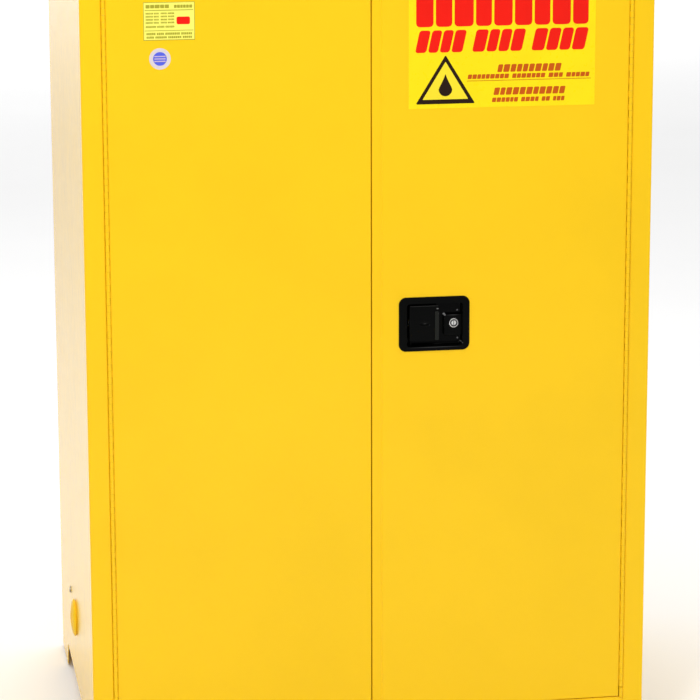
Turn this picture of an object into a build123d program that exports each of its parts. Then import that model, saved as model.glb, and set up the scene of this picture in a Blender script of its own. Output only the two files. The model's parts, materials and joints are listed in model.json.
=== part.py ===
from build123d import *
import os
from math import cos, pi, sin

# Flammable storage cabinet: two hinged doors, double walls, sump, two shelves, three-point latch.
# Millimetres. +X to the right seen from the front, +Y to the back, +Z up, floor at Z = 0.

# ---------------------------------------------------------------- driving dimensions
WIDTH = 1092.2            # 43 in over the side sheets
DEPTH = 863.6             # 34 in, face of the doors to the back sheet
HEIGHT = 1651.0           # 65 in, floor to top
SHEET = 1.2               # 18 gauge steel
BEND = 1.5                # inside radius of a fold
WALL = 38.1               # 1 1/2 in double wall
PROUD = 4.2               # the furthest that anything stands in front of the doors
GROUND = 5.0              # floor to the lower edge of the legs
BELLY = 58.5              # floor to the lower edge of the side sheets between the legs
STILE = 40.1              # width of the door posts
JAMB = 45.0               # depth of the door opening's jambs
OPENING_BOTTOM = 117.0
OPENING_TOP = 1623.0
SILL_TOP = 172.0
SUMP_FLOOR = 120.2
CEILING = 1611.6
FRONT_LEG = (200.0, 153.0)      # length of a leg along the side at the belly edge and at the floor
REAR_LEG = (168.0, 142.0)
BACK_LEG = 120.0                # width of the back's legs

DOOR_THICK = 38.0
DOOR_GAP = 3.0            # doors to the top rail
SILL_GAP = 1.5            # doors to the lower rail
MEETING_GAP = 2.0         # door to door
STRIP = 20.0              # set-back meeting strip of the right door
STRIP_DEPTH = 2.6
STRIP_BEND = 2.4

HINGE_X = 502.0
HINGE_PITCH = 12.7        # half-inch knuckles
HINGE_COUNT = 115
KNUCKLE_R = 3.6
PIN_R = 1.6
RUNNING = 0.06            # radial clearance of a pin in its bore

FACE = -(DEPTH + PROUD) / 2 + PROUD      # front of the doors and the door posts
BACK = FACE + DEPTH
SIDE = WIDTH / 2
POST = SIDE - STILE                      # inner edge of a door post
LINER = POST + SHEET                     # inner face of the side liners
LINER_BACK = BACK - WALL                 # inner face of the back liner
HINGE_Y = FACE - 0.6
DOOR_X = HINGE_X - 4.0                   # hinge side of each door
DOOR_Z0 = OPENING_BOTTOM + SILL_GAP
DOOR_Z1 = OPENING_TOP - DOOR_GAP
DOOR_BACK = FACE + DOOR_THICK
PAN_FACE = DOOR_BACK - SHEET
MEET = MEETING_GAP / 2

# latch, measured from the door's face and the latch's centre height
LATCH_Z = 892.0
BEZEL = (52.5, 190.5, LATCH_Z - 53.0, LATCH_Z + 53.0)    # x0, x1, z0, z1 of the bezel plate
RECESS = (68.0, 177.0, LATCH_Z - 44.5, LATCH_Z + 40.0)
BEZEL_PROUD = 2.2
BEZEL_CORNER = 14.0
RECESS_DEPTH = 18.0
BEZEL_WALL = 1.5
PLATFORM = (142.0, LATCH_Z - 27.0, LATCH_Z + 15.5)       # left edge, z0, z1 of the raised lock platform
PLATFORM_DEPTH = 8.0
PADDLE = (73.5, 131.5, LATCH_Z - 34.0, LATCH_Z + 35.0)
PADDLE_PIN = (77.5, FACE + 10.0)
PADDLE_PIN_R = 2.0
LOCK_X = 161.1
LOCK_Z = LATCH_Z - 1.2
LOCK_RING = 9.1
LOCK_R = 8.1
LOCK_DISH = 7.4
PLUG_R = 5.5
HUB = (117.5, LATCH_Z - 28.0)
HUB_SIDE = 24.0
UPPER_ROD_X = HUB[0] + HUB_SIDE
LOWER_ROD_X = HUB[0] - HUB_SIDE
ROD_Y = FACE + 27.0
ROD_R = 4.0

VENT_LEFT = (FACE + 440.0, 199.5)        # y, z of the vent in the left side
VENT_RIGHT = (FACE + 440.0, 1440.0)
VENT_BORE = 29.5
VENT_TUBE = 33.0
VENT_FLANGE = 36.0
VENT_FLANGE_THICK = 2.0
CAP_R = 38.5
CAP_DOME = 8.6
CAP_PLUG = 29.0
GROUND_AT = (FACE + 570.0, 220.0)

HAZARD_LABEL = (71.0, 431.0, 1308.0, 1536.0)
DATA_LABEL = (-428.0, -332.0, 1449.0, 1520.0)
STICKER = (-398.0, 1414.5, 20.0)         # x, z, radius
LABEL = 0.4

STANDARD_Y = (FACE + 150.0, LINER_BACK - 110.0)
STANDARD_WIDE = 24.0
STANDARD_DEEP = 6.0
SLOT_PITCH = 50.8
SHELF_Z = (610.0, 1118.0)                # top of each shelf
SHELF_THICK = 1.6
SHELF_HALF = 496.0
SHELF_LIP = 25.0
FOOT_X = SIDE - 20.0
FOOT_INSET = 30.0
BRACKET_Z = 22.0
STUD_R = 5.0


# ---------------------------------------------------------------- shapes used throughout
def block(x0, x1, y0, y1, z0, z1):
    """Solid box between two corners."""
    size = (abs(x1 - x0), abs(y1 - y0), abs(z1 - z0))
    return Pos((x0 + x1) / 2, (y0 + y1) / 2, (z0 + z1) / 2) * Box(*size)


def bar_x(y, z, x0, x1, radius):
    return Pos((x0 + x1) / 2, y, z) * Rot(0, 90, 0) * Cylinder(radius, abs(x1 - x0))


def bar_y(x, z, y0, y1, radius):
    return Pos(x, (y0 + y1) / 2, z) * Rot(90, 0, 0) * Cylinder(radius, abs(y1 - y0))


def bar_z(x, y, z0, z1, radius):
    return Pos(x, y, (z0 + z1) / 2) * Cylinder(radius, abs(z1 - z0))


def hexagon_x(y, z, x0, x1, across):
    """Hexagonal prism along X."""
    plane = Plane((x0, y, z), x_dir=(0, 1, 0), z_dir=(1, 0, 0))
    return extrude(plane * RegularPolygon(across / 2, 6, major_radius=False), x1 - x0)


def rounded_block(x0, x1, y0, y1, z0, z1, radius):
    """Box whose four edges along Y are rounded."""
    solid = block(x0, x1, y0, y1, z0, z1)
    return fillet(solid.edges().filter_by(Axis.Y), radius)


def front_edges(solid):
    """Edges that lie in the solid's front plane."""
    return solid.edges().group_by(Axis.Y)[0]


def far_side(points, thickness):
    """The points of a sheet's other skin, thickness to the left of the path (right if negative)."""
    runs = [(b - a).normalized() for a, b in zip(points, points[1:])]
    normals = [Vector(-run.Y, run.X) * thickness for run in runs]
    far = [points[0] + normals[0]]
    for before, after, point in zip(normals, normals[1:], points[1:]):
        far.append(point + (before + after) * (thickness**2 / (thickness**2 + before.dot(after))))
    return far + [points[-1] + normals[-1]]


def round_corners(face, corners):
    """Round each (point, radius) corner of a face."""
    for point, radius in corners:
        face = fillet(face.vertices().sort_by_distance(point)[0], radius)
    return face


def folded(path, thickness=SHEET, bend=BEND):
    """Cross-section of a sheet folded along path, which is one skin of it."""
    near = [Vector(*point) for point in path]
    far = far_side(near, thickness)
    face = make_face(Polyline(*near, *reversed(far), close=True))
    corners = []
    for before, near_point, after, far_point in zip(near, near[1:], near[2:], far[1:]):
        turns_left = (near_point - before).cross(after - near_point).Z > 0
        near_is_outside = turns_left == (thickness > 0)
        outer, inner = bend + abs(thickness), bend
        corners.append((near_point, outer if near_is_outside else inner))
        corners.append((far_point, inner if near_is_outside else outer))
    return round_corners(face, corners)


def upright(face, z0, z1):
    """Extrude a plan view from z0 to z1."""
    return extrude(Pos(0, 0, z0) * face, z1 - z0, dir=(0, 0, 1))


def across(face, x0, x1):
    """Extrude a side view, drawn as (y, z), from x0 to x1."""
    return extrude(Pos(x0, 0, 0) * (Plane.YZ * face), x1 - x0, dir=(1, 0, 0))


def mirrored(solid):
    return mirror(solid, about=Plane.YZ)


parts = {}


# ---------------------------------------------------------------- outer shell
def leg_gap(half):
    """Space between the legs of a side sheet, as a cutter."""
    outline = Polygon((FACE + FRONT_LEG[1], -1), (FACE + FRONT_LEG[0], BELLY), (BACK - REAR_LEG[0], BELLY),
                      (BACK - REAR_LEG[1], -1), align=None)
    return across(outline, half - 5, half + 5)


def outer_side(vent, ground=None):
    """Left side sheet: the side, the door post and its jamb in one fold."""
    plan = folded([(-SIDE, BACK - SHEET), (-SIDE, FACE), (-POST, FACE), (-POST, FACE + JAMB)])
    sheet = upright(plan, GROUND, HEIGHT - SHEET) - leg_gap(-SIDE)
    sheet -= bar_x(vent[0], vent[1], -SIDE - 5, -SIDE + 5, VENT_TUBE + 0.2)
    if ground:
        sheet -= bar_x(ground[0], ground[1], -SIDE - 5, -SIDE + 5, 4.2)
    return sheet


parts["outer_left_side"] = outer_side(VENT_LEFT, GROUND_AT)
parts["outer_right_side"] = mirrored(outer_side(VENT_RIGHT))


def rear_plate(x0, x1, z0, z1, rounded):
    """Part of the back, its outer upright edges rounded at the sides named in rounded."""
    plate = block(x0, x1, BACK - SHEET, BACK, z0, z1)
    upright_edges = plate.edges().filter_by(Axis.Z).group_by(Axis.Y)[-1].sort_by(Axis.X)
    return fillet([upright_edges[i] for i in rounded], 1.0)


left_leg = rear_plate(-SIDE, -SIDE + BACK_LEG, GROUND, BELLY, (0,))
back_sheet = rear_plate(-SIDE, SIDE, BELLY, HEIGHT - SHEET, (0, 1))
parts["outer_back"] = Compound([back_sheet, left_leg, mirrored(left_leg)])

top_sheet = block(-SIDE, SIDE, FACE, BACK, HEIGHT - SHEET, HEIGHT)
parts["outer_top"] = fillet(top_sheet.edges().group_by(Axis.Z)[-1], 1.1)

top_rail = folded([(FACE, HEIGHT - SHEET), (FACE, OPENING_TOP), (FACE + JAMB, OPENING_TOP)])
header = folded([(FACE + JAMB, OPENING_TOP + SHEET), (FACE + JAMB, CEILING + SHEET),
                 (FACE + JAMB + 20, CEILING + SHEET)])
rod_hole = bar_z(UPPER_ROD_X, ROD_Y, OPENING_TOP - 5, OPENING_TOP + 5, 6)
parts["top_rail"] = Compound([across(top_rail, -POST, POST) - rod_hole, across(header, -POST, POST)])

bottom_rail = folded([(FACE, BELLY), (FACE, OPENING_BOTTOM), (FACE + JAMB, OPENING_BOTTOM)], -SHEET)
sill = folded([(FACE + JAMB, OPENING_BOTTOM - SHEET), (FACE + JAMB, SILL_TOP), (FACE + JAMB + 15, SILL_TOP),
               (FACE + JAMB + 15, SILL_TOP - 12)], -SHEET)
rod_hole = bar_z(LOWER_ROD_X, ROD_Y, OPENING_BOTTOM - 5, OPENING_BOTTOM + 5, 6)
parts["bottom_rail"] = Compound([across(bottom_rail, -POST, POST) - rod_hole, across(sill, -POST, POST)])

base_z = BELLY + 2
base = block(-SIDE + SHEET, SIDE - SHEET, FACE + JAMB, BACK - SHEET, base_z, base_z + SHEET)
parts["base_panel"] = base + block(-POST, POST, FACE + SHEET, FACE + JAMB, base_z, base_z + SHEET)

# ---------------------------------------------------------------- liner and sump
liner_z1 = OPENING_TOP - 5


def inner_side(vent):
    """Left liner, lapped over the outside of the jamb and the sump's edge."""
    sheet = block(-LINER - SHEET, -LINER, FACE + 20, LINER_BACK + SHEET, SUMP_FLOOR - SHEET, liner_z1)
    return sheet - bar_x(vent[0], vent[1], -LINER - 5, -LINER + 5, VENT_TUBE + 0.2)


parts["inner_left_side"] = inner_side(VENT_LEFT)
parts["inner_right_side"] = mirrored(inner_side(VENT_RIGHT))
parts["inner_back"] = block(-LINER, LINER, LINER_BACK, LINER_BACK + SHEET, SUMP_FLOOR - SHEET, liner_z1)
parts["inner_top"] = block(-LINER, LINER, FACE + JAMB + SHEET, LINER_BACK, CEILING, CEILING + SHEET)

sump = block(-LINER, LINER, FACE + JAMB + SHEET, LINER_BACK, SUMP_FLOOR - SHEET, SILL_TOP - SHEET - BEND)
sump = fillet(sump.edges().group_by(Axis.Z)[0], BEND + SHEET)
well = block(-LINER + SHEET, LINER - SHEET, FACE + JAMB + 2 * SHEET, LINER_BACK - SHEET, SUMP_FLOOR, SILL_TOP)
parts["sump_pan"] = sump - fillet(well.edges().group_by(Axis.Z)[0], BEND)

# ---------------------------------------------------------------- feet
foot_places = {"front_left": (-FOOT_X, FACE + FOOT_INSET), "front_right": (FOOT_X, FACE + FOOT_INSET),
               "rear_left": (-FOOT_X, BACK - FOOT_INSET), "rear_right": (FOOT_X, BACK - FOOT_INSET)}


def foot_bracket(x, y):
    """Flat bracket across the corner of a leg, bored for the foot's stud."""
    outer, inner = SIDE - SHEET, LINER
    y0, y1 = (FACE + SHEET + BEND, FACE + 62) if y < 0 else (BACK - 62, BACK - SHEET)
    plate = block(outer if x > 0 else -outer, inner if x > 0 else -inner, y0, y1, BRACKET_Z, BRACKET_Z + 3)
    return plate - bar_z(x, y, BRACKET_Z - 1, BRACKET_Z + 5, STUD_R + 0.4)


def weld_nut(x, y):
    nut = extrude(Pos(x, y, BRACKET_Z + 3) * RegularPolygon(8.0, 6, major_radius=False), 8)
    return nut - bar_z(x, y, BRACKET_Z, BRACKET_Z + 15, STUD_R + RUNNING)


def levelling_foot(x, y):
    """Threaded stud with its hexagon and round pad."""
    pad = bar_z(x, y, 0, 6, 15)
    pad = fillet(pad.edges().group_by(Axis.Z)[-1], 2.5)
    pad = chamfer(pad.edges().group_by(Axis.Z)[0], 0.8)
    hexagon = extrude(Pos(x, y, 6) * RegularPolygon(7.0, 6, major_radius=False), 6)
    stud = chamfer(bar_z(x, y, 6, 52, STUD_R).edges().group_by(Axis.Z)[-1], 1.0)
    return pad + hexagon + stud


parts["foot_brackets"] = Compound([foot_bracket(*place) for place in foot_places.values()])
parts["foot_nuts"] = Compound([weld_nut(*place) for place in foot_places.values()])
for corner, place in foot_places.items():
    parts["foot_" + corner] = levelling_foot(*place)

# ---------------------------------------------------------------- piano hinges
hinge_z0 = (DOOR_Z0 + DOOR_Z1 - HINGE_PITCH * HINGE_COUNT) / 2
hinge_z1 = hinge_z0 + HINGE_PITCH * HINGE_COUNT
LEAF_DEPTH = 26.0
LEAF_NOTCH = KNUCKLE_R + 0.7
CLOSER_GAP = 1.6          # last knuckle to the plain closer that fills the rest of the joint line


def hinge_leaf(skin, towards, first, z0=hinge_z0, z1=hinge_z1):
    """One leaf, flat from skin by a sheet's thickness, with every second knuckle."""
    x0, x1 = sorted((skin, skin + towards * SHEET))
    leaf = block(x0, x1, HINGE_Y + LEAF_NOTCH, HINGE_Y + LEAF_DEPTH, z0, z1)
    web = Pos(x0, HINGE_Y) * Rectangle(x1 - x0, LEAF_NOTCH + 1, align=(Align.MIN, Align.MIN))
    section = web + Pos(-HINGE_X, HINGE_Y) * Circle(KNUCKLE_R)
    section -= Pos(-HINGE_X, HINGE_Y) * Circle(PIN_R + RUNNING)
    knuckles = [upright(section, hinge_z0 + i * HINGE_PITCH + 0.2, hinge_z0 + (i + 1) * HINGE_PITCH - 0.2)
                for i in range(first, HINGE_COUNT, 2)]
    closers = []
    if (z0, z1) != (hinge_z0, hinge_z1):
        closer = web + Pos(-HINGE_X, HINGE_Y) * Circle(KNUCKLE_R - 0.4)
        closers = [upright(closer, z0, hinge_z0 - CLOSER_GAP), upright(closer, hinge_z1 + CLOSER_GAP, z1)]
    return leaf.fuse(*knuckles, *closers)


frame_leaf = hinge_leaf(-POST, 1, 0, OPENING_BOTTOM + 0.8, OPENING_TOP - 0.8)
door_leaf = hinge_leaf(-DOOR_X, -1, 1)
parts["hinge_left_frame_leaf"] = frame_leaf
parts["hinge_left_door_leaf"] = door_leaf
parts["hinge_right_frame_leaf"] = mirrored(frame_leaf)
parts["hinge_right_door_leaf"] = mirrored(door_leaf)
parts["hinge_pins"] = Compound([bar_z(x, HINGE_Y, hinge_z0, hinge_z1, PIN_R) for x in (-HINGE_X, HINGE_X)])


# ---------------------------------------------------------------- doors
def door_shell(outline, roundings):
    """Open-backed pan with the plan outline: face, edges and ends of one sheet."""
    near = [Vector(*point) for point in outline]
    far = far_side(near, -SHEET)
    outside = round_corners(make_face(Polyline(*near, close=True)), zip(near[1:-1], roundings))
    solid = upright(outside, DOOR_Z0, DOOR_Z1)
    ends = [edge for edge in solid.edges() if edge.center().Y < FACE + STRIP_DEPTH + 0.1
            and abs(edge.length) > STRIP - 6 and edge.length < WIDTH / 2 + 1]
    solid = fillet(ends, 1.6)
    inner_roundings = [max(radius - SHEET, 0.6) for radius in roundings]
    inside = round_corners(make_face(Polyline(*far, close=True)), zip(far[1:-1], inner_roundings))
    return solid - upright(inside, DOOR_Z0 + SHEET, DOOR_Z1 - SHEET)


def inner_pan(x0, x1):
    """Back of a door: a plate with a flange lapped inside the outer pan."""
    plate = block(x0, x1, PAN_FACE, DOOR_BACK, DOOR_Z0, DOOR_Z1)
    plate = fillet(plate.edges().group_by(Axis.Y)[-1], 0.8)
    step = SHEET
    flange = block(x0 + step, x1 - step, PAN_FACE - 14, PAN_FACE, DOOR_Z0 + step, DOOR_Z1 - step)
    flange -= block(x0 + 2 * step, x1 - 2 * step, PAN_FACE - 15, PAN_FACE, DOOR_Z0 + 2 * step,
                    DOOR_Z1 - 2 * step)
    return plate + flange


bolt_slot = (FACE + 23.4, FACE + 30.6, LATCH_Z - 8.6, LATCH_Z + 8.6)

left_outline = [(-MEET, PAN_FACE), (-MEET, FACE), (-DOOR_X, FACE), (-DOOR_X, PAN_FACE)]
left_skin = mirrored(door_shell([(-x, y) for x, y in reversed(left_outline)], [1.8, 2.2]))
parts["left_door_skin"] = left_skin - block(-10, 0, *bolt_slot)
parts["left_door_pan"] = inner_pan(-DOOR_X, -MEET) - block(-10, 0, *bolt_slot)
strike = block(-MEET - 2 * SHEET - 3, -MEET - 2 * SHEET, FACE + 12, PAN_FACE - 1, LATCH_Z - 30, LATCH_Z + 30)
parts["bolt_strike"] = strike - block(-10, 0, *bolt_slot)

strip_x = MEET + STRIP
right_outline = [(DOOR_X, PAN_FACE), (DOOR_X, FACE), (strip_x, FACE),
                 (strip_x - STRIP_BEND, FACE + STRIP_DEPTH), (MEET, FACE + STRIP_DEPTH), (MEET, PAN_FACE)]
right_skin = door_shell(right_outline, [1.8, 2.0, 1.0, 1.6])
pan_x0, pan_x1 = RECESS[0] - BEZEL_WALL, RECESS[1] + BEZEL_WALL
pan_z0, pan_z1 = RECESS[2] - BEZEL_WALL, RECESS[3] + BEZEL_WALL
right_skin -= rounded_block(pan_x0 - 1, pan_x1 + 1, FACE - 5, FACE + 5, pan_z0 - 1, pan_z1 + 1, 8)
right_skin -= block(0, 10, *bolt_slot)
right_skin -= bar_z(UPPER_ROD_X, ROD_Y, DOOR_Z1 - 5, DOOR_Z1 + 5, ROD_R + 0.5)
right_skin -= bar_z(LOWER_ROD_X, ROD_Y, DOOR_Z0 - 5, DOOR_Z0 + 5, ROD_R + 0.5)
parts["right_door_skin"] = right_skin

cover = (57.5, 185.5, LATCH_Z - 75, LATCH_Z + 65)
cover_holes = [(x, z) for x in (cover[0] + 8, cover[1] - 8) for z in (cover[2] + 8, cover[3] - 8)]
right_pan = inner_pan(MEET, DOOR_X) - block(0, 10, *bolt_slot)
for rod_x, rod_z in ((UPPER_ROD_X, DOOR_Z1), (LOWER_ROD_X, DOOR_Z0)):
    right_pan -= bar_z(rod_x, ROD_Y, rod_z - 20, rod_z + 20, ROD_R + 0.5)
right_pan -= rounded_block(cover[0] + 16, cover[1] - 16, PAN_FACE - 5, DOOR_BACK + 5, cover[2] + 16,
                           cover[3] - 16, 6)
cover_plate = rounded_block(cover[0], cover[1], DOOR_BACK, DOOR_BACK + 1.5, cover[2], cover[3], 6)
for x, z in cover_holes:
    right_pan -= bar_y(x, z, PAN_FACE - 5, DOOR_BACK + 5, 2.1)
    cover_plate -= bar_y(x, z, PAN_FACE - 5, DOOR_BACK + 5, 2.3)
parts["right_door_pan"] = right_pan
parts["latch_cover"] = cover_plate


def cover_screw(x, z):
    head = bar_y(x, z, DOOR_BACK + 1.5, DOOR_BACK + 3.5, 4.0)
    head = fillet(head.edges().group_by(Axis.Y)[-1], 1.2)
    head -= block(x - 2.6, x + 2.6, DOOR_BACK + 2.6, DOOR_BACK + 5, z - 0.5, z + 0.5)
    head -= block(x - 0.5, x + 0.5, DOOR_BACK + 2.6, DOOR_BACK + 5, z - 2.6, z + 2.6)
    return head + bar_y(x, z, DOOR_BACK - 8, DOOR_BACK + 1.5, 2.0)


parts["cover_screws"] = Compound([cover_screw(x, z) for x, z in cover_holes])

# ---------------------------------------------------------------- labels
def label(x0, x1, z0, z1):
    return rounded_block(x0, x1, FACE - LABEL, FACE, z0, z1, 1.5)


parts["hazard_label"] = label(*HAZARD_LABEL)
parts["data_label"] = label(*DATA_LABEL)
parts["round_sticker"] = bar_y(STICKER[0], STICKER[1], FACE - LABEL, FACE, STICKER[2])

# ---------------------------------------------------------------- latch bezel and paddle
floor_y = FACE + RECESS_DEPTH
rim = rounded_block(BEZEL[0], BEZEL[1], FACE - BEZEL_PROUD, FACE, BEZEL[2], BEZEL[3], BEZEL_CORNER)
rim = fillet(front_edges(rim), 1.8)
bezel = rim + rounded_block(pan_x0, pan_x1, FACE - 0.5, floor_y + BEZEL_WALL, pan_z0, pan_z1, 7.5)
recess = rounded_block(RECESS[0], RECESS[1], FACE - 5, floor_y, RECESS[2], RECESS[3], 6)
bezel -= fillet(recess.edges().group_by(Axis.Y)[-1], 4.5)
lock_y = FACE + PLATFORM_DEPTH
platform = block(PLATFORM[0], RECESS[1] + 0.5, lock_y, floor_y + BEZEL_WALL, PLATFORM[1], PLATFORM[2])
platform = fillet(platform.edges().filter_by(Axis.Y).group_by(Axis.X)[0], 5)
platform = fillet(platform.edges().group_by(Axis.Y)[0].sort_by(Axis.X)[:-1], 2)
bezel += platform
hollow = block(PLATFORM[0] + BEZEL_WALL, RECESS[1], lock_y + BEZEL_WALL, floor_y + 5,
               PLATFORM[1] + BEZEL_WALL, PLATFORM[2] - BEZEL_WALL)
bezel -= fillet(hollow.edges().filter_by(Axis.Y).group_by(Axis.X)[0], 3.5)
bezel -= bar_y(LOCK_X, LOCK_Z, FACE, FACE + 15, LOCK_R + 0.1)
bezel -= block(PADDLE_PIN[0] - 4, PADDLE_PIN[0] + 9.5, floor_y - 1, floor_y + 5, LATCH_Z - 8, LATCH_Z + 8)
bezel -= bar_z(*PADDLE_PIN, pan_z0 - 5, pan_z1 + 5, PADDLE_PIN_R + 0.04)
parts["latch_bezel"] = bezel

retainer = rounded_block(BEZEL[0] + 5, BEZEL[1] - 5, FACE + SHEET, FACE + SHEET + 1.5, BEZEL[2] + 4,
                         BEZEL[3] - 4, 6)
retainer_hole = rounded_block(pan_x0 - 0.3, pan_x1 + 0.3, FACE, FACE + 10, pan_z0 - 0.3, pan_z1 + 0.3, 7.8)
parts["latch_retainer"] = retainer - retainer_hole
parts["paddle_pin"] = bar_z(*PADDLE_PIN, pan_z0 - 0.8, pan_z1 + 0.8, PADDLE_PIN_R)

paddle_y = FACE + 1.2
plate = rounded_block(PADDLE[0], PADDLE[1], paddle_y, paddle_y + 2.6, PADDLE[2], PADDLE[3], 3)
plate = fillet(front_edges(plate), 1.2)
grip = rounded_block(PADDLE[1] - 9, PADDLE[1], FACE - 2.4, paddle_y + 2.6, PADDLE[2] + 1, PADDLE[3] - 10, 3.5)
grip = fillet(front_edges(grip), 3.0)
dimple = Pos(PADDLE[0] + 30.5, paddle_y, LATCH_Z) * Rot(90, 0, 0) * scale(Sphere(1), (11.5, 4.8, 1.6))
knuckle_z0, knuckle_z1 = LATCH_Z - 18, LATCH_Z + 18
knuckle = bar_z(*PADDLE_PIN, knuckle_z0, knuckle_z1, 3.6)
web = block(PADDLE_PIN[0] - 3.0, PADDLE_PIN[0] + 3.6, paddle_y + 2, PADDLE_PIN[1], knuckle_z0, knuckle_z1)
tail_y = ROD_Y
tail = block(PADDLE_PIN[0] - 2, PADDLE_PIN[0] + 2, PADDLE_PIN[1], tail_y, LATCH_Z - 6, LATCH_Z + 6)
tail += bar_z(PADDLE_PIN[0], tail_y, LATCH_Z - 6, LATCH_Z + 6, 2)
paddle = plate + grip + knuckle + web + tail
parts["paddle"] = paddle - dimple - bar_z(*PADDLE_PIN, knuckle_z0 - 1, knuckle_z1 + 1, PADDLE_PIN_R + RUNNING)

# ---------------------------------------------------------------- lock
barrel = bar_y(LOCK_X, LOCK_Z, lock_y - 2.2, lock_y, LOCK_RING)
barrel = fillet(barrel.edges().group_by(Axis.Y)[0], 1.0)
barrel += bar_y(LOCK_X, LOCK_Z, lock_y, FACE + 31, LOCK_R)
barrel -= bar_y(LOCK_X, LOCK_Z, lock_y - 5, lock_y - 0.8, LOCK_DISH)
parts["lock_barrel"] = barrel - bar_y(LOCK_X, LOCK_Z, FACE, FACE + 40, PLUG_R + RUNNING)
nut = extrude(Plane((LOCK_X, lock_y + BEZEL_WALL, LOCK_Z), x_dir=(1, 0, 0), z_dir=(0, 1, 0))
              * RegularPolygon(11.0, 6, major_radius=False), 4)
parts["lock_nut"] = nut - bar_y(LOCK_X, LOCK_Z, FACE, FACE + 40, LOCK_R + 0.05)
plug = bar_y(LOCK_X, LOCK_Z, lock_y - 1.5, FACE + 32, PLUG_R)
plug += block(LOCK_X - 3, LOCK_X + 3, FACE + 31.5, FACE + 35, LOCK_Z - 3, LOCK_Z + 3)
keyway = block(LOCK_X - 0.7, LOCK_X + 0.7, FACE, lock_y + 14, LOCK_Z - 4.2, LOCK_Z + 4.2)
parts["lock_plug"] = plug - keyway
cam_arm = block(LOCK_X - 6, LOCK_X + 6, FACE + 32, FACE + 34, LOCK_Z, LOCK_Z + 25)
cam = cam_arm + bar_y(LOCK_X, LOCK_Z, FACE + 32, FACE + 34, 8)
parts["lock_cam"] = cam - block(LOCK_X - 3, LOCK_X + 3, FACE + 31, FACE + 36, LOCK_Z - 3, LOCK_Z + 3)

# ---------------------------------------------------------------- three-point latch inside the right door
hub_y0, hub_y1 = FACE + 21.5, FACE + 24.5
strap_y0, strap_y1 = FACE + 25.5, FACE + 28.5
arms = block(LOWER_ROD_X, UPPER_ROD_X, hub_y0, hub_y1, HUB[1] - 6, HUB[1] + 6)
arms += block(HUB[0] - 6, HUB[0] + 6, hub_y0, hub_y1, HUB[1], LATCH_Z)
arms += bar_y(HUB[0], HUB[1], hub_y0, hub_y1, 11)
for x, z, radius in ((LOWER_ROD_X, HUB[1], 3.0), (UPPER_ROD_X, HUB[1], 3.0), (HUB[0], LATCH_Z, 2.5)):
    arms += bar_y(x, z, hub_y0, hub_y1, 6) + bar_y(x, z, hub_y1, FACE + 30, radius)
parts["latch_hub"] = arms - bar_y(HUB[0], HUB[1], FACE, FACE + 40, 4 + RUNNING)
pivot = bar_y(HUB[0], HUB[1], floor_y + BEZEL_WALL, hub_y0 - 0.3, 7)
pivot += bar_y(HUB[0], HUB[1], hub_y0 - 0.3, hub_y1 + 0.3, 4)
parts["hub_pivot"] = pivot + bar_y(HUB[0], HUB[1], hub_y1 + 0.3, hub_y1 + 3, 6.5)


def strap_eye(x, z0, z1):
    """Flattened end of a rod with the cross slot that the hub's stud works in."""
    strap = rounded_block(x - 8, x + 8, strap_y0, strap_y1, z0, z1, 3)
    return strap - rounded_block(x - 4.8, x + 4.8, strap_y0 - 1, strap_y1 + 1, HUB[1] - 3.3, HUB[1] + 3.3, 3)


upper_rod = strap_eye(UPPER_ROD_X, HUB[1] - 7, HUB[1] + 20)
upper_rod += bar_z(UPPER_ROD_X, ROD_Y, HUB[1] + 12, DOOR_Z1 - 2, ROD_R)
lower_rod = strap_eye(LOWER_ROD_X, HUB[1] - 20, HUB[1] + 6)
lower_rod += bar_z(LOWER_ROD_X, ROD_Y, DOOR_Z0 + 2, HUB[1] - 12, ROD_R)
parts["upper_rod"] = chamfer(upper_rod.edges().group_by(Axis.Z)[-1], 1)
parts["lower_rod"] = chamfer(lower_rod.edges().group_by(Axis.Z)[0], 1)


def rod_guide(x, z):
    body = block(x - 12, x + 12, FACE + SHEET, ROD_Y + 7, z - 6, z + 6)
    return body - bar_z(x, ROD_Y, z - 10, z + 10, ROD_R + 0.3)


guide_places = [(UPPER_ROD_X, 1035), (UPPER_ROD_X, 1560), (LOWER_ROD_X, 180), (LOWER_ROD_X, 695)]
parts["rod_guides"] = Compound([rod_guide(x, z) for x, z in guide_places])

bolt_head = rounded_block(MEET + 0.3, 34, FACE + 24, FACE + 30, LATCH_Z - 8, LATCH_Z + 8, 1.5)
bolt_bar = block(30, HUB[0] + 5, strap_y0, strap_y1, LATCH_Z - 8, LATCH_Z + 8)
bolt_bar -= block(PADDLE_PIN[0] - 2.6, PADDLE_PIN[0] + 2.6, strap_y0 - 1, strap_y1 + 1, LATCH_Z - 6.5,
                  LATCH_Z + 6.5)
bolt_bar -= block(HUB[0] - 3, HUB[0] + 3, strap_y0 - 1, strap_y1 + 1, LATCH_Z - 5.5, LATCH_Z + 4)
parts["centre_bolt"] = bolt_head + bolt_bar
guide = block(24, 33, FACE + SHEET, FACE + 34, LATCH_Z - 14, LATCH_Z + 14)
parts["bolt_guide"] = guide - block(20, 40, *bolt_slot)


def keeper(x, z0, z1):
    """Plate behind a rail that takes the end of a latch rod."""
    return block(x - 30, x + 30, ROD_Y - 12, ROD_Y + 12, z0, z1) - bar_z(x, ROD_Y, z0 - 1, z1 + 1, 5.5)


parts["top_keeper"] = keeper(UPPER_ROD_X, OPENING_TOP + SHEET, OPENING_TOP + SHEET + 2.5)
parts["bottom_keeper"] = keeper(LOWER_ROD_X, OPENING_BOTTOM - SHEET - 2.5, OPENING_BOTTOM - SHEET)


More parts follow.
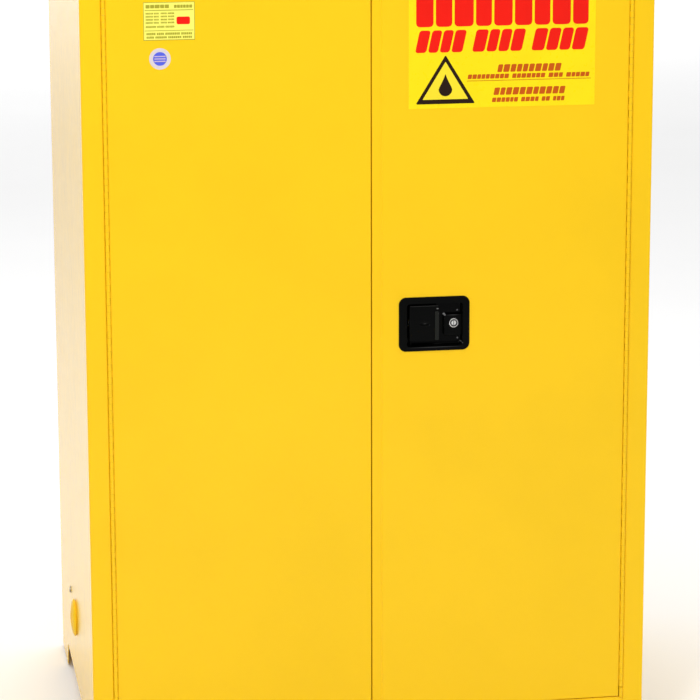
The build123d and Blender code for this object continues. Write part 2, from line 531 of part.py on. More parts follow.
# ---------------------------------------------------------------- vents and grounding screw
def vent_fitting(y, z):
    """Left vent: flanged sleeve through both walls, with a shoulder for the screen."""
    fitting = bar_x(y, z, -SIDE - VENT_FLANGE_THICK, -SIDE, VENT_FLANGE)
    fitting += bar_x(y, z, -SIDE, -LINER, VENT_TUBE)
    fitting -= bar_x(y, z, -SIDE - 10, -LINER - 1, VENT_BORE)
    return fitting - bar_x(y, z, -LINER - 2, -LINER + 5, VENT_BORE - 2.5)


def vent_screen(y, z):
    """Flame-arrester disc, pierced in rings of holes."""
    disc = bar_x(y, z, -LINER - 3.2, -LINER - 1.2, VENT_BORE - 0.3)
    polar = [(0, 0)] + [(6.2 * ring, pi / 3 * i / ring) for ring in (1, 2, 3, 4) for i in range(6 * ring)]
    places = [(y + radius * cos(turn), z + radius * sin(turn)) for radius, turn in polar]
    return disc.cut(*(bar_x(y, z, -LINER - 5, -LINER + 1, 1.8) for y, z in places))


def vent_cap(y, z):
    """Screwed cap: low dome with a square key recess, and the plug behind it."""
    seat = -SIDE - VENT_FLANGE_THICK
    dome = Pos(seat, y, z) * scale(Sphere(1), (CAP_DOME, CAP_R, CAP_R))
    dome &= block(seat - 50, seat, y - 50, y + 50, z - 50, z + 50)
    cap = dome + bar_x(y, z, seat, seat + 16, CAP_PLUG)
    socket = block(seat - CAP_DOME - 1, seat + 6, y - 11, y + 11, z - 11, z + 11)
    return cap - fillet(socket.edges().filter_by(Axis.X), 3)


parts["vent_fittings"] = Compound([vent_fitting(*VENT_LEFT), mirrored(vent_fitting(*VENT_RIGHT))])
parts["vent_screens"] = Compound([vent_screen(*VENT_LEFT), mirrored(vent_screen(*VENT_RIGHT))])
parts["left_vent_cap"] = vent_cap(*VENT_LEFT)
parts["right_vent_cap"] = mirrored(vent_cap(*VENT_RIGHT))

ground_y, ground_z = GROUND_AT
screw = hexagon_x(ground_y, ground_z, -SIDE - 3.5, -SIDE - 1, 10)
screw += bar_x(ground_y, ground_z, -SIDE - 1, -SIDE, 8)
parts["ground_screw"] = screw + bar_x(ground_y, ground_z, -SIDE, -SIDE + 16, 4)
ground_nut = hexagon_x(ground_y, ground_z, -SIDE + SHEET, -SIDE + SHEET + 6, 13)
parts["ground_nut"] = ground_nut - bar_x(ground_y, ground_z, -SIDE - 1, -SIDE + 20, 4.05)


# ---------------------------------------------------------------- shelves
def standard(y):
    """Left slotted upright, a shallow channel welded to the liner."""
    face = -LINER + STANDARD_DEEP
    z0, z1 = SILL_TOP + 12, CEILING - 20
    channel = block(-LINER, face, y - STANDARD_WIDE / 2, y + STANDARD_WIDE / 2, z0, z1)
    channel -= block(-LINER - 1, face - SHEET, y - STANDARD_WIDE / 2 + SHEET, y + STANDARD_WIDE / 2 - SHEET,
                     z0 - 1, z1 + 1)
    count = int((z1 - z0 - SLOT_PITCH) / SLOT_PITCH)
    slots = [block(face - 3, face + 1, y - 2, y + 2, z - 7, z + 7)
             for z in (SHELF_Z[0] - 20 + SLOT_PITCH * i for i in range(-8, count - 8))]
    return channel.cut(*slots)


def clip(y, shelf_z):
    """Left shelf clip: hooked plate in the slot and the tongue that the shelf lies on."""
    face = -LINER + STANDARD_DEEP
    tongue_z = shelf_z - SHELF_THICK
    plate = block(face, face + 2, y - 9, y + 9, tongue_z - 30, tongue_z)
    tongue = block(face, face + 17, y - 9, y + 9, tongue_z - 2, tongue_z)
    slot_heights = [SHELF_Z[0] - 20 + SLOT_PITCH * i for i in range(-8, 20)]
    hook_z = min(slot_heights, key=lambda z: abs(z - (tongue_z - 16)))
    return plate + tongue + block(face - 4, face, y - 1.5, y + 1.5, hook_z - 5, hook_z + 5)


def shelf(top):
    """Galvanized shelf, its front and back edges folded down and under."""
    y0, y1 = FACE + 62, LINER_BACK - 12
    hem = top - SHELF_LIP
    section = [(y0 + 12, hem), (y0, hem), (y0, top), (y1, top), (y1, hem), (y1 - 12, hem)]
    return across(folded(section, -SHELF_THICK, BEND), -SHELF_HALF, SHELF_HALF)


standards = [standard(y) for y in STANDARD_Y]
clips = [clip(y, z) for y in STANDARD_Y for z in SHELF_Z]
parts["shelf_standards"] = Compound(standards + [mirrored(item) for item in standards])
parts["shelf_clips"] = Compound(clips + [mirrored(item) for item in clips])
parts["lower_shelf"] = shelf(SHELF_Z[0])
parts["upper_shelf"] = shelf(SHELF_Z[1])

# ---------------------------------------------------------------- output
os.makedirs("parts", exist_ok=True)
for name, solid in parts.items():
    export_step(solid, f"parts/{name}.step")
print(len(parts), "sub-parts written")
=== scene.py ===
import json
import math
import random

import bmesh
import bpy
from mathutils import Matrix, Vector


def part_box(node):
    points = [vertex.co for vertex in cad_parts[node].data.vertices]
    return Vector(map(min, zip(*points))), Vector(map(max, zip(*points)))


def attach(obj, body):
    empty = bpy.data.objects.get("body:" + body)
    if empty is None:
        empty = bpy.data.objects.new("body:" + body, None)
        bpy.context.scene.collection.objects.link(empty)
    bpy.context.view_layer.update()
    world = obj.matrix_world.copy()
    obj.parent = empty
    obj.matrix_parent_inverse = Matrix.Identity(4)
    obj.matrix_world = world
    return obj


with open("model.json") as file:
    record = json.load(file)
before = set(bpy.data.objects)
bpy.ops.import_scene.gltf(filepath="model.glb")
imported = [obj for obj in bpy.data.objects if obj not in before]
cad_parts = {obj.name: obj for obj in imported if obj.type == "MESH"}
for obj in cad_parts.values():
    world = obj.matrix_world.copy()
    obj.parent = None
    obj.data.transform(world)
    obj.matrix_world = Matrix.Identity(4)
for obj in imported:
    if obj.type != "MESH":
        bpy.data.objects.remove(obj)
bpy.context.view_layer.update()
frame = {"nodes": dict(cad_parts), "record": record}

nodes = frame["nodes"]
record = frame["record"]


# ---------------------------------------------------------------- material helpers
# sockets of the colour mix node, by number, as several of its sockets share a name
MIX_FACTOR, MIX_UNDER, MIX_OVER, MIX_RESULT = 0, 6, 7, 2
ENDLESS = 1000.0                         # metres: depth of a mask that is the same all the way through


class Graph:
    """A node material under construction, fed by the object's own coordinates in metres."""

    def __init__(self, name, color, roughness, metallic=0.0, ior=1.5):
        self.mat = bpy.data.materials.new(name)
        self.mat.use_nodes = True
        self.tree = self.mat.node_tree
        self.shader = self.tree.nodes["Principled BSDF"]
        self.set("Base Color", (*color, 1.0))
        self.set("Roughness", roughness)
        self.set("Metallic", metallic)
        self.set("IOR", ior)
        self.mat.diffuse_color = (*color, 1.0)
        self.place = self.node("ShaderNodeTexCoord").outputs["Object"]
        self.normal = None

    def node(self, kind, **settings):
        made = self.tree.nodes.new(kind)
        for key, value in settings.items():
            setattr(made, key, value)
        return made

    def link(self, source, target):
        self.tree.links.new(source, target)

    def set(self, socket, value):
        self.shader.inputs[socket].default_value = value

    def stretched(self, scale):
        """The object's coordinates, scaled along each axis."""
        mapping = self.node("ShaderNodeMapping")
        mapping.inputs["Scale"].default_value = scale
        self.link(self.place, mapping.inputs["Vector"])
        return mapping.outputs["Vector"]

    def noise(self, scale, detail=2.0, rough=0.5, vector=None):
        """Smooth noise with about as many waves to the metre as scale says."""
        made = self.node("ShaderNodeTexNoise")
        made.inputs["Scale"].default_value = scale
        made.inputs["Detail"].default_value = detail
        made.inputs["Roughness"].default_value = rough
        self.link(vector or self.place, made.inputs["Vector"])
        return made.outputs["Fac"]

    def cells(self, scale):
        """A random value for each cell of a Voronoi pattern."""
        made = self.node("ShaderNodeTexVoronoi")
        made.inputs["Scale"].default_value = scale
        self.link(self.place, made.inputs["Vector"])
        return made.outputs["Color"]

    def ramp(self, fac, stops):
        made = self.node("ShaderNodeValToRGB")
        elements = made.color_ramp.elements
        elements[0].position, elements[0].color = stops[0][0], (*stops[0][1], 1.0)
        elements[1].position, elements[1].color = stops[-1][0], (*stops[-1][1], 1.0)
        for position, color in stops[1:-1]:
            elements.new(position).color = (*color, 1.0)
        self.link(fac, made.inputs["Fac"])
        return made.outputs["Color"]

    def range(self, fac, low, high, start=0.0, end=1.0):
        """Goes from low to high as fac goes from start to end, and stops there."""
        made = self.node("ShaderNodeMapRange")
        made.inputs["From Min"].default_value = start
        made.inputs["From Max"].default_value = end
        made.inputs["To Min"].default_value = low
        made.inputs["To Max"].default_value = high
        self.link(fac, made.inputs["Value"])
        return made.outputs["Result"]

    def between(self, axis, start, end):
        """Rises from 0 at start to 1 at end along an axis of the object, in metres."""
        parted = self.node("ShaderNodeSeparateXYZ")
        self.link(self.place, parted.inputs["Vector"])
        return self.range(parted.outputs[axis], 0.0, 1.0, start, end)

    def spot(self, centre, radii, core=0.0):
        """1 inside the core of an upright ellipse that faces the front, falling to 0 at its rim."""
        mapping = self.node("ShaderNodeMapping", vector_type="TEXTURE")
        mapping.inputs["Location"].default_value = (centre[0], 0.0, centre[1])
        mapping.inputs["Scale"].default_value = (radii[0], ENDLESS, radii[1])
        self.link(self.place, mapping.inputs["Vector"])
        length = self.node("ShaderNodeVectorMath", operation="LENGTH")
        self.link(mapping.outputs["Vector"], length.inputs[0])
        return self.range(length.outputs["Value"], 1.0, 0.0, core)

    def blend(self, fac, under, over):
        """Colour socket under, covered by the plain colour over where fac is 1."""
        made = self.node("ShaderNodeMix", data_type="RGBA")
        self.link(fac, made.inputs[MIX_FACTOR])
        self.link(under, made.inputs[MIX_UNDER])
        made.inputs[MIX_OVER].default_value = (*over, 1.0)
        return made.outputs[MIX_RESULT]

    def color(self, source):
        self.link(source, self.shader.inputs["Base Color"])

    def roughness(self, source):
        self.link(source, self.shader.inputs["Roughness"])

    def bump(self, height, distance, strength=1.0):
        """Adds a bump on top of any earlier one; distance is its height in metres."""
        made = self.node("ShaderNodeBump")
        made.inputs["Strength"].default_value = strength
        made.inputs["Distance"].default_value = distance
        self.link(height, made.inputs["Height"])
        if self.normal:
            self.link(self.normal, made.inputs["Normal"])
        self.normal = made.outputs["Normal"]
        self.link(self.normal, self.shader.inputs["Normal"])


def shade(color, factor):
    return tuple(min(1.0, channel * factor) for channel in color)


def grey(level):
    return (level, level, level)


# ---------------------------------------------------------------- materials
YELLOW = (0.955, 0.590, 0.011)
BLACK = (0.0010, 0.0012, 0.0010)
BRIGHT_METAL = (0.82, 0.82, 0.79)

# heights of the surface bumps, in metres
TURNED = 0.00001
FINE_GRAIN = 0.00002
ORANGE_PEEL = 0.00003
SHEET_WAVES = 0.00022


def yellow_enamel(name="yellow_enamel", waves=SHEET_WAVES, roughness=(0.13, 0.22), ior=1.24):
    """Gloss powder coat on sheet steel: orange peel, faint colour drift and the slow waves of the sheet."""
    g = Graph(name, YELLOW, sum(roughness) / 2, ior=ior)
    drift = g.noise(2.6, 3.0, 0.6)
    g.color(g.ramp(drift, [(0.30, shade(YELLOW, 0.965)), (0.52, YELLOW), (0.72, shade(YELLOW, 1.02))]))
    g.roughness(g.range(g.noise(34.0, 3.0), *roughness))
    g.bump(g.noise(3.3, 1.0), waves)
    g.bump(g.noise(420.0, 2.0, 0.55), ORANGE_PEEL, 0.12)
    return g.mat


def galvanized():
    """Zinc spangle: flat crystals of slightly different grey."""
    g = Graph("galvanized_steel", (0.68, 0.70, 0.72), 0.42, metallic=0.85)
    spangle = g.cells(95.0)
    g.color(g.ramp(spangle, [(0.0, (0.56, 0.58, 0.60)), (1.0, (0.78, 0.80, 0.82))]))
    g.roughness(g.range(spangle, 0.27, 0.47))
    g.bump(g.noise(600.0, 2.0), FINE_GRAIN, 0.4)
    return g.mat


def zinc():
    """Brushed zinc plate, its fine lines running up and down."""
    g = Graph("zinc_plate", (0.66, 0.67, 0.68), 0.30, metallic=1.0)
    brushed = g.noise(90.0, 4.0, 0.6, g.stretched((1.0, 1.0, 0.06)))
    g.color(g.ramp(brushed, [(0.25, (0.55, 0.56, 0.57)), (0.75, (0.74, 0.75, 0.76))]))
    g.roughness(g.range(brushed, 0.24, 0.40))
    g.bump(brushed, FINE_GRAIN, 0.3)
    return g.mat


def black_enamel(name, painted_highlights):
    """Black enamel with a fine tooth; the function given second lists (mask, colour) pairs for highlights
    painted onto it.
    """
    g = Graph(name, BLACK, 0.16, ior=1.15)
    fine = g.noise(900.0, 3.0, 0.6)
    color = g.ramp(fine, [(0.3, shade(BLACK, 0.75)), (0.7, shade(BLACK, 1.35))])
    # painted highlights: a lighter colour wherever each mask is 1
    for mask, highlight in painted_highlights(g):
        color = g.blend(mask, color, highlight)
    g.color(color)
    g.roughness(g.range(g.noise(60.0, 3.0), 0.12, 0.20))
    g.bump(fine, ORANGE_PEEL, 0.2)
    return g.mat


GRIP_SHEEN_DEPTHS = (0.0024, 0.0008)           # behind the paddle's front, where its painted sheen begins and is full
EDGE_HIGHLIGHT_DEPTHS = (0.0012, 0.0002)           # below the paddle's top, where its painted highlight begins and is full
DIMPLE_HIGHLIGHT = ((0.1040, 0.8920), (0.0046, 0.0016))            # painted highlight in the thumb dimple: centre and radii, in x and z
# painted glint on the grip's upper corner: centre and radii, in x and z
GRIP_CORNER_GLINT = ((0.1283, 0.9210), (0.0030, 0.0016))


def paddle_painted_highlights(g):
    """Painted light: sheen on the grip, highlights on the upper edge and in the thumb dimple, a glint on the
    grip's upper corner.
    """
    (_, front, _), (_, _, top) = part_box("paddle")
    grip = g.between("Y", *(front + depth for depth in GRIP_SHEEN_DEPTHS))
    edge = g.between("Z", *(top - depth for depth in EDGE_HIGHLIGHT_DEPTHS))
    return [(grip, (0.014, 0.015, 0.013)), (edge, (0.045, 0.045, 0.042)),
            (g.spot(*DIMPLE_HIGHLIGHT), (0.030, 0.030, 0.028)), (g.spot(*GRIP_CORNER_GLINT), (0.22, 0.22, 0.21))]


# painted highlights on the bezel's edges and corners as (centre, radii, grey level), in x and z
BEZEL_GLINTS = [
    ((0.1600, 0.9060), (0.0150, 0.0010), 0.050),     # upper edge of the lock's platform
    ((0.1435, 0.9070), (0.0028, 0.0024), 0.500),     # its upper left corner
    ((0.1700, 0.9135), (0.0024, 0.0020), 0.250),     # upper right of the recess
    ((0.1705, 0.8590), (0.0024, 0.0024), 0.380),     # lower right corner of the recess
    ((0.1760, 0.8530), (0.0022, 0.0018), 0.160),     # the slope beyond that corner
    ((0.1238, 0.8463), (0.0600, 0.0011), 0.045),     # lower edge of the recess
]


# each bezel glint is a painted highlight: a lighter grey inside its spot
def bezel_painted_highlights(g):
    return [(g.spot(centre, radii), grey(level)) for centre, radii, level in BEZEL_GLINTS]


def chrome():
    g = Graph("bright_chrome", (0.76, 0.76, 0.73), 0.14, metallic=1.0)
    fine = g.noise(1400.0, 2.0)
    g.color(g.ramp(fine, [(0.3, (0.70, 0.70, 0.67)), (0.7, BRIGHT_METAL)]))
    g.roughness(g.range(g.noise(160.0, 3.0), 0.08, 0.20))
    g.bump(fine, TURNED, 0.3)
    return g.mat


PLUG_RIM = 0.0006                        # width of the plug's rim, painted wholly dark as the shade of the gap round it
PLUG_FACE = 0.82                         # share of the radius inside that rim that is fully bright


def plug_chrome_painted_rim_shade():
    """The plug's bright face inside a rim painted dark as the shade of the gap round the plug."""
    g = Graph("plug_chrome_painted_rim_shade", (0.80, 0.80, 0.77), 0.12, metallic=1.0)
    (x0, _, z0), (x1, _, z1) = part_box("lock_plug")
    radius = (x1 - x0) / 2 - PLUG_RIM
    face = g.spot(((x0 + x1) / 2, (z0 + z1) / 2), (radius, radius), PLUG_FACE)
    # painted shade: the colour of the rim, where the gap round the plug lies in shadow
    painted_rim_shade = g.ramp(g.noise(1400.0, 2.0), [(0.3, (0.06, 0.06, 0.055)), (0.7, (0.09, 0.09, 0.085))])
    g.color(g.blend(face, painted_rim_shade, BRIGHT_METAL))
    g.roughness(g.range(g.noise(160.0, 3.0), 0.08, 0.18))
    return g.mat


def dull_screw():
    """Plated screw that has gone dull and warm."""
    g = Graph("dull_screw", (0.46, 0.40, 0.28), 0.45, metallic=0.6)
    dull = g.noise(240.0, 3.0)
    g.color(g.ramp(dull, [(0.3, (0.38, 0.33, 0.23)), (0.7, (0.54, 0.47, 0.34))]))
    g.bump(dull, FINE_GRAIN, 0.3)
    return g.mat


def brass():
    """Brass gauze, shiny where it is bright and rougher where it has tarnished."""
    g = Graph("brass", (0.62, 0.44, 0.16), 0.34, metallic=1.0)
    tarnish = g.noise(70.0, 4.0, 0.65)
    g.color(g.ramp(tarnish, [(0.3, (0.40, 0.27, 0.09)), (0.7, (0.70, 0.52, 0.22))]))
    g.roughness(g.range(tarnish, 0.45, 0.25))
    g.bump(g.noise(800.0, 2.0), FINE_GRAIN, 0.4)
    return g.mat


def nylon():
    """Moulded nylon, which lets a little light in."""
    g = Graph("guide_nylon", (0.78, 0.77, 0.72), 0.42)
    g.set("Subsurface Weight", 0.05)
    g.set("Subsurface Radius", (0.002, 0.002, 0.0015))
    soft = g.noise(120.0, 3.0)
    g.color(g.ramp(soft, [(0.3, (0.72, 0.71, 0.66)), (0.7, (0.82, 0.81, 0.76))]))
    g.bump(g.noise(700.0, 2.0), ORANGE_PEEL, 0.4)
    return g.mat


FILM_DRIFT = 0.03                        # how far a film's colour wanders either way


def vinyl(name, color, roughness=0.28):
    """Printed or plain self-adhesive film."""
    g = Graph(name, color, roughness, ior=1.28)
    soft = g.noise(14.0, 2.0)
    g.color(g.ramp(soft, [(0.3, shade(color, 1.0 - FILM_DRIFT)), (0.7, shade(color, 1.0 + FILM_DRIFT))]))
    g.roughness(g.range(g.noise(120.0, 2.0), roughness - 0.05, roughness + 0.07))
    g.bump(g.noise(260.0, 2.0), FINE_GRAIN, 0.5)
    return g.mat


materials = {
    "yellow_enamel": yellow_enamel(),
    "zinc_plate": zinc(),
    "galvanized_steel": galvanized(),
    "black_enamel": black_enamel("black_enamel", lambda g: []),
    "bright_chrome": chrome(),
    "brass": brass(),
    "guide_nylon": nylon(),
    "label_hazard": vinyl("label_hazard", (0.955, 0.745, 0.006)),
    "label_data": vinyl("label_data", (0.950, 0.900, 0.160)),
    "label_round": vinyl("label_round", (0.70, 0.63, 0.65)),
}
print_red = vinyl("print_red", (0.86, 0.010, 0.003), 0.32)
print_brick = vinyl("print_brick", (0.56, 0.095, 0.004), 0.32)
print_brown = vinyl("print_brown", (0.018, 0.006, 0.002), 0.34)
print_olive = vinyl("print_olive", (0.40, 0.36, 0.030), 0.34)
print_blue = vinyl("print_blue", (0.095, 0.125, 0.74), 0.30)
print_pale = vinyl("print_pale", (0.62, 0.50, 0.62), 0.30)
print_yellow = vinyl("print_yellow", (0.930, 0.745, 0.030), 0.30)

# nodes that look different from the rest of their material slot
cap_enamel = yellow_enamel("cap_enamel", waves=0.0, roughness=(0.42, 0.52), ior=1.22)
special = {
    "left_vent_cap": cap_enamel,
    "right_vent_cap": cap_enamel,
    # the plug's rim carries painted shade
    "lock_plug": plug_chrome_painted_rim_shade(),
    "ground_screw": dull_screw(),
    # the paddle and the bezel carry painted highlights
    "paddle": black_enamel("paddle_enamel_painted_highlights", paddle_painted_highlights),
    "latch_bezel": black_enamel("bezel_enamel_painted_highlights", bezel_painted_highlights),
}

for subpart in record["subparts"]:
    data = nodes[subpart["node"]].data
    data.materials.clear()
    data.materials.append(special.get(subpart["node"], materials[subpart["material_slot"]]))


# ---------------------------------------------------------------- pieces in mesh code
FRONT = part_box("hazard_label")[0].y      # front of the labels' film
INK = 0.00012                            # thickness of a printed layer


def add_piece(name, bm, material, body):
    """Turns a finished bmesh into a piece that rides on a body."""
    bmesh.ops.recalc_face_normals(bm, faces=bm.faces)
    mesh = bpy.data.meshes.new(name)
    bm.to_mesh(mesh)
    bm.free()
    piece = bpy.data.objects.new(name, mesh)
    bpy.context.scene.collection.objects.link(piece)
    mesh.materials.append(material)
    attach(piece, body)


def slab(bm, outline, back, front):
    """Closed slab: outline is (x, z) points, the slab runs from back to front along Y."""
    near = [bm.verts.new((x, front, z)) for x, z in outline]
    far = [bm.verts.new((x, back, z)) for x, z in outline]
    bm.faces.new(near)
    bm.faces.new(list(reversed(far)))
    for i in range(len(outline)):
        j = (i + 1) % len(outline)
        bm.faces.new((near[j], near[i], far[i], far[j]))


def printed(name, outlines, material, body, slot, layer=1):
    """A printed layer: each outline becomes a thin slab in front of the label's film."""
    bm = bmesh.new()
    back = FRONT - INK * (layer - 1)
    for outline in outlines:
        slab(bm, outline, back, back - INK)
    add_piece(name, bm, material, body)


def lathe(name, rings, centre, material, body, steps=64):
    """Closed ring turned about an axis along Y: rings are the (radius, y) points of its section."""
    bm = bmesh.new()
    loops = []
    for radius, y in rings:
        loops.append([bm.verts.new((x, y, z)) for x, z in circle(*centre, radius, steps)])
    for loop, following in zip(loops, loops[1:] + loops[:1]):
        for i in range(steps):
            j = (i + 1) % steps
            bm.faces.new((loop[i], loop[j], following[j], following[i])).smooth = True
    add_piece(name, bm, material, body)


# ---------------------------------------------------------------- outlines in x and z
def circle(x, z, radius, steps=48):
    return [(x + radius * math.cos(2 * math.pi * i / steps), z + radius * math.sin(2 * math.pi * i / steps))
            for i in range(steps)]


def bar(x0, x1, z0, z1, slant=0.0, corner=0.0, steps=3):
    """Rectangle, slanted like italics if asked, with rounded corners."""
    if not corner:
        return [(x0, z0), (x1, z0), (x1 + slant, z1), (x0 + slant, z1)]
    points = []
    for cx, cz, start in ((x1 - corner, z0 + corner, -90), (x1 - corner, z1 - corner, 0),
                          (x0 + corner, z1 - corner, 90), (x0 + corner, z0 + corner, 180)):
        for step in range(steps + 1):
            angle = math.radians(start + 90 * step / steps)
            z = cz + corner * math.sin(angle)
            points.append((cx + corner * math.cos(angle) + slant * (z - z0) / (z1 - z0), z))
    return points


def border(x0, x1, z0, z1, thick):
    """Four bars just inside a rectangle's edges."""
    return [bar(x0, x1, z0, z0 + thick), bar(x0, x1, z1 - thick, z1),
            bar(x0, x0 + thick, z0 + thick, z1 - thick), bar(x1 - thick, x1, z0 + thick, z1 - thick)]


def rounded_triangle(x, z, half, height, corner, steps=6):
    """Isosceles triangle whose base is centred on (x, z), its corners rounded."""
    tips = [Vector((x - half, z)), Vector((x + half, z)), Vector((x, z + height))]
    points = []
    for i, tip in enumerate(tips):
        before, after = tips[i - 1], tips[(i + 1) % 3]
        a, b = (before - tip).normalized(), (after - tip).normalized()
        spread = a.angle(b) / 2
        centre = tip + (a + b).normalized() * (corner / math.sin(spread))
        start = tip + a * (corner / math.tan(spread)) - centre
        turn = math.pi - 2 * spread
        for step in range(steps + 1):
            points.append(tuple(centre + Matrix.Rotation(turn * step / steps, 2) @ start))
    return points


DROP_NECK, DROP_POWER = 0.82, 1.6        # how far, and how quickly, a drop narrows towards its top


def drop(x, z, width, height, steps=28):
    """Plain drop with a pointed top, the centre of its round end at (x, z)."""
    points = []
    for i in range(steps):
        angle = 2 * math.pi * i / steps
        pull = max(0.0, math.sin(angle))
        points.append((x + width / 2 * math.cos(angle) * (1 - DROP_NECK * pull ** DROP_POWER),
                       z + width / 2 * math.sin(angle) + (height - width) * pull ** 2))
    return points


WORD_SPACE = 0.55                        # width of a word space, where a block is about 1
BLOCK_WIDTHS = (0.85, 1.15)              # narrowest and widest block
BLOCK_CORNER = 0.12                      # corner radius as a share of the line's height
random.seed(7)


def line_of_print(x0, x1, z0, z1, letters, gap, slant=0.0):
    """Plain blocks where a line of print stands: letters holds how many blocks each word has."""
    widths = []
    for word in letters:
        widths += [random.uniform(*BLOCK_WIDTHS) for _ in range(word)] + [0]
    widths.pop()
    unit = (x1 - x0 - gap * (len(widths) - 1)) / sum(width or WORD_SPACE for width in widths)
    blocks, x = [], x0
    for width in widths:
        step = (width or WORD_SPACE) * unit
        if width:
            blocks.append(bar(x, x + step, z0, z1, slant, (z1 - z0) * BLOCK_CORNER))
        x += step + gap
    return blocks


# ---------------------------------------------------------------- large label on the right door
(hx0, _, hz0), (hx1, _, _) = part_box("hazard_label")
ON_LARGE = ("right_door", "label_hazard")

# each row: left, right, bottom, top, blocks in each word, gap, slant; a right below 0 is from the right edge
HEADING_ROWS = [
    (0.014, -0.014, 0.1545, 0.2160, [9], 0.0045, 0.0),
    (0.012, -0.022, 0.1060, 0.1480, [4, 4, 4], 0.0035, 0.009),
]
LOWER_ROWS = [
    (0.170, 0.292, 0.0665, 0.0810, [10], 0.0024, 0.003),
    (0.113, -0.012, 0.0545, 0.0630, [9, 7, 3, 5], 0.0014, 0.0015),
    (0.163, 0.300, 0.0230, 0.0370, [11], 0.0024, 0.003),
    (0.160, 0.300, 0.0095, 0.0180, [6, 4, 2, 3], 0.0014, 0.0015),
]


def large_label_rows(rows):
    blocks = []
    for left, right, low, high, *rest in rows:
        edge = hx1 if right < 0 else hx0
        blocks += line_of_print(hx0 + left, edge + right, hz0 + low, hz0 + high, *rest)
    return blocks


printed("placard_heading", large_label_rows(HEADING_ROWS), print_red, *ON_LARGE)
RULE_LEFT, RULE_RIGHT, RULE_LOW, RULE_HIGH = hx0 + 0.112, hx1 - 0.008, hz0 + 0.0503, hz0 + 0.0513
rule = bar(RULE_LEFT, RULE_RIGHT, RULE_LOW, RULE_HIGH)
printed("placard_lines", large_label_rows(LOWER_ROWS) + [rule], print_brick, *ON_LARGE)

SIGN_X, SIGN_Z = hx0 + 0.0705, hz0 + 0.0085      # middle of the triangle's base
FIELD_RISE, DROP_RISE = 0.0085, 0.0275           # how far the inner field and the drop lie above that
sign = rounded_triangle(SIGN_X, SIGN_Z, half=0.0570, height=0.0925, corner=0.0015)
field = rounded_triangle(SIGN_X, SIGN_Z + FIELD_RISE, half=0.0440, height=0.0715, corner=0.0008)
mark = drop(SIGN_X, SIGN_Z + DROP_RISE, width=0.0260, height=0.0420)
printed("placard_triangle", [sign], print_brown, *ON_LARGE)
printed("placard_triangle_field", [field], print_yellow, *ON_LARGE, layer=2)
printed("placard_drop", [mark], print_brown, *ON_LARGE, layer=3)


# ---------------------------------------------------------------- small label on the left door
(dx0, _, dz0), (dx1, _, dz1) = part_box("data_label")
ON_SMALL = ("left_door", "label_data")
SMALL_BORDER = 0.0011

# rows as on the large label, but their places are shares of the label's width and height
TITLE_ROWS = [(0.05, 0.50, 0.84, 0.93, [5], 0.0010), (0.60, 0.95, 0.84, 0.92, [6], 0.0008)]
COLUMN_ROWS = [row for low in (0.68, 0.60, 0.52, 0.44)
               for row in ((0.05, 0.30, low, low + 0.045, [6, 4], 0.0005),
                           (0.34, 0.60, low, low + 0.045, [5, 5], 0.0005))]
FOOT_ROWS = [
    (0.05, 0.60, 0.33, 0.38, [8, 6, 7], 0.0005),
    (0.06, 0.94, 0.14, 0.20, [5, 4, 8, 6], 0.0006),
    (0.06, 0.94, 0.05, 0.105, [4, 6, 7, 5], 0.0006),
]
RULES = [(0.03, 0.97, 0.775, 0.795), (0.03, 0.97, 0.245, 0.262)]
PATCH = (0.645, 0.905, 0.41, 0.61)


def at(left, right, low, high):
    """Part of the small label, as shares of its width and height from its left and bottom."""
    width, height = dx1 - dx0, dz1 - dz0
    return dx0 + left * width, dx0 + right * width, dz0 + low * height, dz0 + high * height


olive = border(*at(0.0, 1.0, 0.0, 1.0), SMALL_BORDER) + [bar(*at(*place)) for place in RULES]
for *place, letters, gap in TITLE_ROWS + COLUMN_ROWS + FOOT_ROWS:
    olive += line_of_print(*at(*place), letters, gap)
printed("plate_print", olive, print_olive, *ON_SMALL)
printed("plate_patch", [bar(*at(*PATCH), corner=0.003)], print_red, *ON_SMALL)


# ---------------------------------------------------------------- round sticker on the left door
(sx0, _, sz0), (sx1, _, sz1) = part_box("round_sticker")
sx, sz, sr = (sx0 + sx1) / 2, (sz0 + sz1) / 2, (sx1 - sx0) / 2
ON_ROUND = ("left_door", "label_round")
DISC, BAND_HALF, BAND_HEIGHT = 0.64, 0.52, 0.10      # shares of the sticker's radius
BAND_LOWS = (-0.28, -0.05, 0.18)

bands = [bar(sx - sr * BAND_HALF, sx + sr * BAND_HALF, sz + sr * low, sz + sr * (low + BAND_HEIGHT))
         for low in BAND_LOWS]
printed("sticker_disc", [circle(sx, sz, sr * DISC)], print_blue, *ON_ROUND)
printed("sticker_bands", bands, print_pale, *ON_ROUND, layer=2)


# ---------------------------------------------------------------- black ring round the lock's plug, painted shade in its recess
(lx0, ly0, lz0), (lx1, _, lz1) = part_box("lock_barrel")
lock_centre = ((lx0 + lx1) / 2, (lz0 + lz1) / 2)
SHADE_RING_BACK = ly0 + 0.0014
SHADE_RING_SECTION = [                       # radius, and how far in front of the ring's back
    (0.00575, 0.0), (0.00575, 0.0005), (0.0062, 0.0008),
    (0.0070, 0.0008), (0.0074, 0.0005), (0.0074, 0.0),
]
rings = [(radius, SHADE_RING_BACK - rise) for radius, rise in SHADE_RING_SECTION]
# a black ring standing in for the shade in the recess round the plug
lathe("lock_shade_ring", rings, lock_centre, materials["black_enamel"], "right_door")


# ---------------------------------------------------------------- floor, light and camera
FLOOR_HALF = 20.0
FLOOR_CELLS = 24
WORLD_STRENGTH = 0.38
LIGHTS = [                               # name, place, what it points at, width and height, watts
    ("overhead", (0.0, 0.5, 5.0), (0.0, 0.5, 0.0), (8.0, 8.0), 300.0),
    ("rear", (0.0, 17.0, 8.0), (0.0, 17.0, 0.0), (20.0, 12.0), 1650.0),
    ("key", (-1.4, -3.6, 3.1), (0.0, -0.4, 0.9), (0.6, 0.4), 62.0),
    ("right", (5.0, -2.0, 2.6), (0.0, 0.0, 0.9), (2.5, 3.0), 12.0),
]

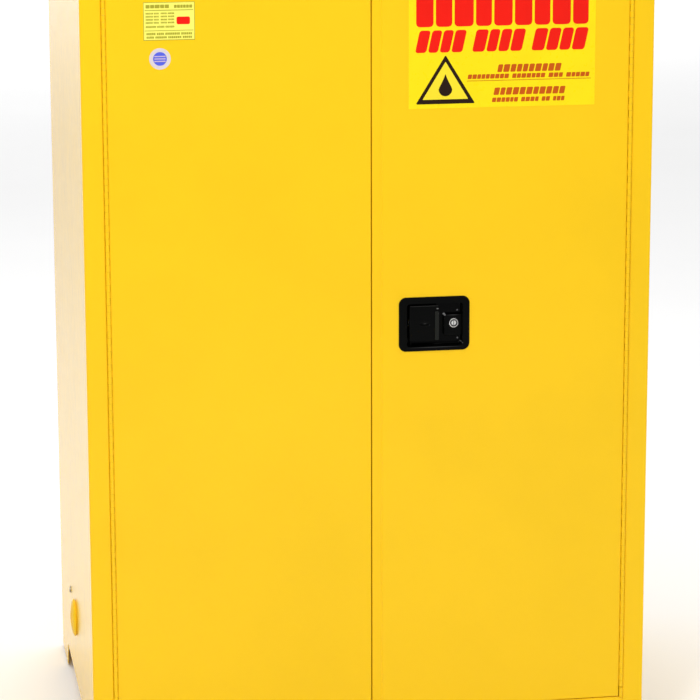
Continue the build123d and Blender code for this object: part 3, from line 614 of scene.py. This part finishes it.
CAMERA_PLACE = (-0.958, -5.951, 2.130)
YAW, PITCH, ROLL = math.radians(9.42), math.radians(11.96), math.radians(-0.14)
SENSOR = 36.0
PICTURE_WIDTH, FOCAL_LENGTH, SHIFT_DOWN = 700.0, 3003.0, 50.0    # all three in the same unit
CLIP_END = 100.0


def stage_floor():
    bm = bmesh.new()
    bmesh.ops.create_grid(bm, x_segments=FLOOR_CELLS, y_segments=FLOOR_CELLS, size=FLOOR_HALF)
    mesh = bpy.data.meshes.new("floor")
    bm.to_mesh(mesh)
    bm.free()
    floor = bpy.data.objects.new("floor", mesh)
    bpy.context.scene.collection.objects.link(floor)
    g = Graph("floor_pale", grey(0.93), 0.75)
    g.color(g.ramp(g.noise(0.9, 3.0), [(0.3, grey(0.925)), (0.7, grey(0.945))]))
    mesh.materials.append(g.mat)


def area_light(name, place, target, size, power):
    lamp = bpy.data.lights.new(name, "AREA")
    lamp.shape = "RECTANGLE"
    lamp.size, lamp.size_y = size
    lamp.energy = power
    holder = bpy.data.objects.new(name, lamp)
    holder.location = place
    holder.rotation_euler = (Vector(target) - Vector(place)).to_track_quat("-Z", "Y").to_euler()
    bpy.context.scene.collection.objects.link(holder)


def studio():
    world = bpy.data.worlds.new("studio")
    world.use_nodes = True
    background = world.node_tree.nodes["Background"]
    background.inputs["Color"].default_value = (*grey(1.0), 1.0)
    background.inputs["Strength"].default_value = WORLD_STRENGTH
    bpy.context.scene.world = world
    for light in LIGHTS:
        area_light(*light)


def view_camera():
    lens = bpy.data.cameras.new("camera")
    lens.sensor_width = SENSOR
    lens.lens = FOCAL_LENGTH / PICTURE_WIDTH * SENSOR
    lens.shift_y = -SHIFT_DOWN / PICTURE_WIDTH
    lens.clip_end = CLIP_END
    camera = bpy.data.objects.new("camera", lens)
    turn = Matrix.Rotation(-YAW, 4, "Z") @ Matrix.Rotation(math.radians(90.0) - PITCH, 4, "X")
    camera.matrix_world = Matrix.Translation(CAMERA_PLACE) @ turn @ Matrix.Rotation(ROLL, 4, "Z")
    bpy.context.scene.collection.objects.link(camera)
    bpy.context.scene.camera = camera


stage_floor()
studio()
view_camera()
bpy.context.scene.view_settings.view_transform = "Standard"
